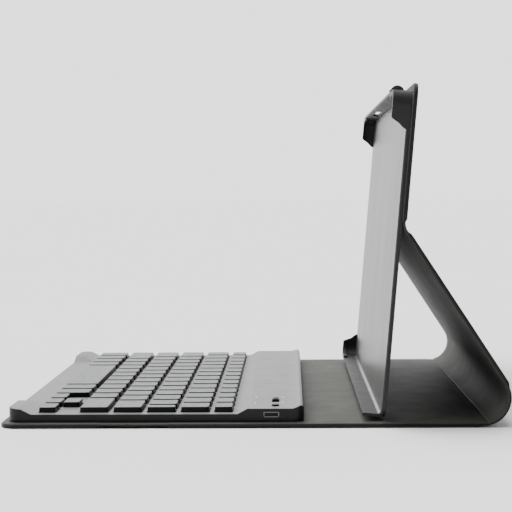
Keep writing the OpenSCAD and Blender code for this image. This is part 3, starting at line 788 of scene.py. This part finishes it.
def connect_button():
    """A round black button with a shallow dish."""
    low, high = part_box("connect_button")
    centre, radius = (low + high) / 2, (high.x - low.x) / 2
    profile = [
        (1.0, low.z), (1.0, high.z - 0.3 * MM), (0.93, high.z - 0.08 * MM), (0.8, high.z),
        (0.5, high.z - 0.06 * MM), (0.2, high.z - 0.1 * MM)]
    vertices = []
    for share, z in profile:
        for k in range(BUTTON_SIDES):
            a = 2 * math.pi * k / BUTTON_SIDES
            vertices.append((
                centre.x + radius * share * math.cos(a), centre.y + radius * share * math.sin(a), z))
    faces = tube_faces(0, len(profile), BUTTON_SIDES)
    button = sharpen(new_object("connect_button_cap", vertices, faces, [paint["case_black"]]))
    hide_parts("connect_button")
    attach(button, "connect")


def socket_tongue():
    """The plastic inside the charging socket: its back, and the thin tongue that the plug goes over."""
    low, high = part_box("usb_socket")
    inner_end = low.x + 1.05 * MM
    bm = bmesh.new()
    rounded_box(
        bm, (inner_end, low.y + 0.4 * MM, low.z + 0.4 * MM),
        (high.x - 0.9 * MM, high.y - 0.4 * MM, high.z - 0.4 * MM), 0.3 * MM, 0.15 * MM)
    rounded_box(
        bm, (inner_end, low.y + 1.6 * MM, low.z + 1.0 * MM),
        (high.x - 0.4 * MM, high.y - 1.6 * MM, low.z + 1.6 * MM), 0.2 * MM, 0.1 * MM)
    tongue = object_from(bm, "usb_tongue", paint["case_black"])
    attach(tongue, "keyboard")


power_slider()
connect_button()
socket_tongue()

# ---------- the glossy cove between the tray's liner and its shelf, its lighter grey a painted highlight ---

COVE_R = 1.3 * MM
COVE_STEPS = 8
COVE_LEFT, COVE_RIGHT = 9 * MM, 5 * MM  # how far the cove stops short of the liner's sides
LINER_CLEARANCE = 0.3 * MM  # the liner ends this far above the shelf


def shelf_cove():
    """A hollow fillet along the inner edge of the shelf, glossier and lighter than the liner: the lighter grey is
    a painted highlight.
    """
    low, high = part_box("holder_liner")
    from_fold = np.array([v.co.yz for v in frame["nodes"]["holder_liner"].data.vertices]) - fold_at
    foot = float((from_fold @ tray_dir).min()) - LINER_CLEARANCE
    face = float((from_fold @ tray_in).max())
    section = [(foot, face)]
    for k in range(COVE_STEPS + 1):
        a = math.pi / 2 * k / COVE_STEPS
        section.append((foot + COVE_R * (1 - math.cos(a)), face + COVE_R * (1 - math.sin(a))))
    vertices = []
    for x in (low.x + COVE_LEFT, high.x - COVE_RIGHT):
        for rise, front in section:
            y, z = fold_at + rise * tray_dir + front * tray_in
            vertices.append((x, y, z))
    cove = sharpen(new_object("shelf_cove", vertices, tube_faces(0, 2, len(section)), [painted_highlight_cove]), 30)
    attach(cove, "tray")


shelf_cove()

# ---------- CAD nodes that stay ----------

slots = {part["node"]: part["material_slot"] for part in frame["record"]["subparts"]}
for node, obj in frame["nodes"].items():
    obj.data.materials.clear()
    # the charging socket gets the darker steel, painted shade for its opening
    obj.data.materials.append(socket_steel_painted_shade if node == "usb_socket" else paint[slots[node]])


def soften(node, width):
    """Rounds a moulded CAD part's edges, as a modifier, so that they catch the light."""
    obj = frame["nodes"][node]
    weld = obj.modifiers.new("weld", "WELD")
    weld.merge_threshold = 1e-6
    bevel = obj.modifiers.new("bevel", "BEVEL")
    bevel.width = width
    bevel.segments = 2
    bevel.limit_method = "ANGLE"
    bevel.angle_limit = math.radians(38)
    bevel.harden_normals = True
    bevel.use_clamp_overlap = True
    weighted = obj.modifiers.new("weighted_normals", "WEIGHTED_NORMAL")
    weighted.mode = "FACE_AREA"
    weighted.weight = 100
    for polygon in obj.data.polygons:
        polygon.use_smooth = True


for node, width in (("holder_tray", 0.35 * MM), ("kb_bottom_case", 0.25 * MM), ("kb_top_case", 0.18 * MM)):
    soften(node, width)

# ---------- floor, light and camera ----------

FLOOR_SIZE = 60
BACKDROP = 2.2  # radiance of the bright backdrop, behind the object at its left side
ROOM = 0.18  # radiance of the room on the other side
FADE_FROM, FADE_TO = -0.92, 0.1  # the X of the directions between which one turns into the other
SUN_ENERGY = 6.0
SUN_ANGLE = math.radians(75)
SUN_DIRECTION = (0.2, 0.65, -1)

CAMERA_X, CAMERA_Z = 0.7665, 0.1114
CAMERA_BEFORE_SPINE = 0.0928  # how far the camera stands in front of the spine's first hinge
YAW, PITCH, ROLL = math.radians(-1.364), math.radians(2.578), math.radians(-0.386)
SENSOR, LENS = 36, 94.746


def white_floor():
    """A plain matt floor."""
    f = Finish("floor", (0.93, 0.93, 0.93), 0.9, Specular_IOR_Level=0.1)
    f.vary_colour(f.noise(0.4), (0.915, 0.915, 0.915), 0.6)
    bpy.ops.mesh.primitive_plane_add(size=FLOOR_SIZE, location=(0, 0, 0))
    floor = bpy.context.object
    floor.name = "floor"
    floor.data.materials.append(f.material)


def studio_world():
    """Surroundings that are bright behind the object and dim on the camera's side."""
    world = bpy.data.worlds.new("studio")
    bpy.context.scene.world = world
    world.use_nodes = True
    sky = world.node_tree
    direction = sky.nodes.new("ShaderNodeTexCoord")
    split = sky.nodes.new("ShaderNodeSeparateXYZ")
    fade = sky.nodes.new("ShaderNodeMapRange")
    fade.interpolation_type = "SMOOTHSTEP"
    limits = {"From Min": FADE_FROM, "From Max": FADE_TO, "To Min": BACKDROP, "To Max": ROOM}
    for socket, number in limits.items():
        fade.inputs[socket].default_value = number
    sky.links.new(direction.outputs["Generated"], split.inputs[0])
    sky.links.new(split.outputs["X"], fade.inputs["Value"])
    sky.links.new(fade.outputs["Result"], sky.nodes["Background"].inputs["Strength"])
    sky.nodes["Background"].inputs["Color"].default_value = (1, 1, 1, 1)


def overhead_light():
    """A very wide, soft sun from above, in front and to the left."""
    lamp = bpy.data.lights.new("soft_overhead", "SUN")
    lamp.energy = SUN_ENERGY
    lamp.angle = SUN_ANGLE
    overhead = bpy.data.objects.new("soft_overhead", lamp)
    overhead.rotation_euler = Vector(SUN_DIRECTION).to_track_quat("-Z", "Y").to_euler()
    bpy.context.scene.collection.objects.link(overhead)


def place_camera():
    """A camera low beside the keyboard's right end, looking along the case."""
    camera = bpy.data.objects.new("camera", bpy.data.cameras.new("camera"))
    bpy.context.scene.collection.objects.link(camera)
    camera.location = (CAMERA_X, pivot("cover_open").y - CAMERA_BEFORE_SPINE, CAMERA_Z)
    ahead = Vector((-math.cos(PITCH) * math.cos(YAW), math.cos(PITCH) * math.sin(YAW), -math.sin(PITCH)))
    level = ahead.cross(Vector((0, 0, 1))).normalized()
    upright = level.cross(ahead)
    right = math.cos(ROLL) * level + math.sin(ROLL) * upright
    up = -math.sin(ROLL) * level + math.cos(ROLL) * upright
    camera.rotation_euler = Matrix((right, up, -ahead)).transposed().to_euler()
    camera.data.sensor_width = SENSOR
    camera.data.lens = LENS
    camera.data.clip_start = 0.01
    bpy.context.scene.camera = camera


white_floor()
studio_world()
overhead_light()
place_camera()
